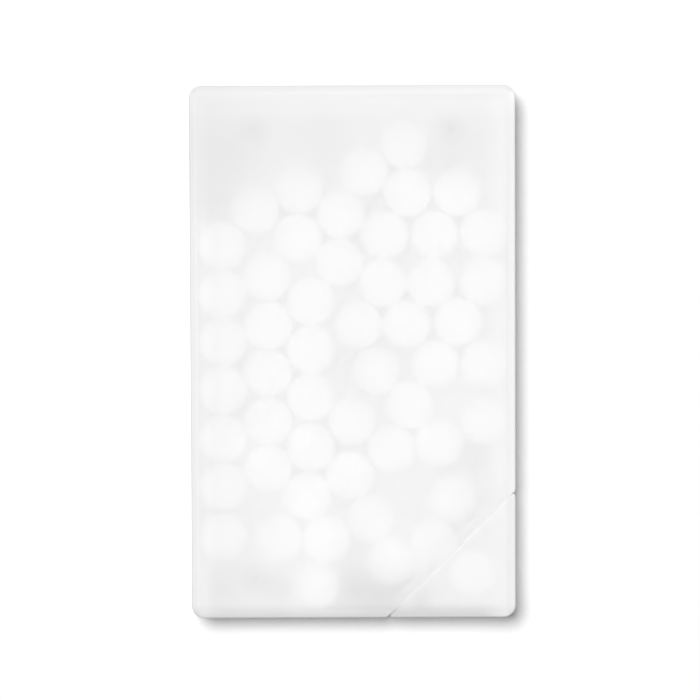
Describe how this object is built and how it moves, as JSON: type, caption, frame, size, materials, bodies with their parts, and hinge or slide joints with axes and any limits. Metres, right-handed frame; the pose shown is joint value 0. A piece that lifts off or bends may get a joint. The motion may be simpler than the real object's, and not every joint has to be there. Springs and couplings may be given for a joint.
{
  "type": "mint card dispenser",
  "caption": "Flat frosted card case with a corner flap that swings out on a film hinge, filled with a layer of small round mints.",
  "frame": {"origin": "centre of the back face, which the card lies on", "axes": "+Z out of the front face through the card's thickness, +Y along the card to the end away from the flap, +X across it towards the flap's side"},
  "size_m": [0.05, 0.082, 0.0062],
  "materials": {
    "frosted_plastic": "satin",
    "mint": "matte"
  },
  "bodies": {
    "case": {"back_shell": "frosted_plastic", "front_shell": "frosted_plastic", "hinge_strap": "frosted_plastic", "mint_01": "mint", "mint_02": "mint", "mint_03": "mint", "mint_04": "mint", "mint_05": "mint", "mint_06": "mint", "mint_07": "mint", "mint_08": "mint", "mint_09": "mint", "mint_10": "mint", "mint_11": "mint", "mint_12": "mint", "mint_13": "mint", "mint_14": "mint", "mint_15": "mint", "mint_16": "mint", "mint_17": "mint", "mint_18": "mint", "mint_19": "mint", "mint_20": "mint", "mint_21": "mint", "mint_22": "mint", "mint_23": "mint", "mint_24": "mint", "mint_25": "mint", "mint_26": "mint", "mint_27": "mint", "mint_28": "mint", "mint_29": "mint", "mint_30": "mint", "mint_31": "mint", "mint_32": "mint", "mint_33": "mint", "mint_34": "mint", "mint_35": "mint", "mint_36": "mint", "mint_37": "mint", "mint_38": "mint", "mint_39": "mint", "mint_40": "mint", "mint_41": "mint", "mint_42": "mint", "mint_43": "mint", "mint_44": "mint", "mint_45": "mint", "mint_46": "mint", "mint_47": "mint", "mint_48": "mint", "mint_49": "mint", "mint_50": "mint"},
    "flap": {"corner_flap": "frosted_plastic", "flap_mint": "mint"},
    "dispensed_mint": {"mouth_mint": "mint"}
  },
  "joints": [
    {"name": "flap_hinge", "type": "hinge", "parent": "case", "child": "flap", "pos_m": [0.02469, -0.02155, 0.0031], "axis": [0, 0, 1], "range_deg": [0, 100], "deforming": ["hinge_strap"]},
    {"name": "mint_slide", "type": "slide", "parent": "case", "child": "dispensed_mint", "axis": [0.7071, -0.7071, 0], "range_m": [0, 0.0065]}
  ],
  "couplings": [
    {"joint": "mint_slide", "follows": "flap_hinge", "m_per_rad": 0.0037}
  ]
}
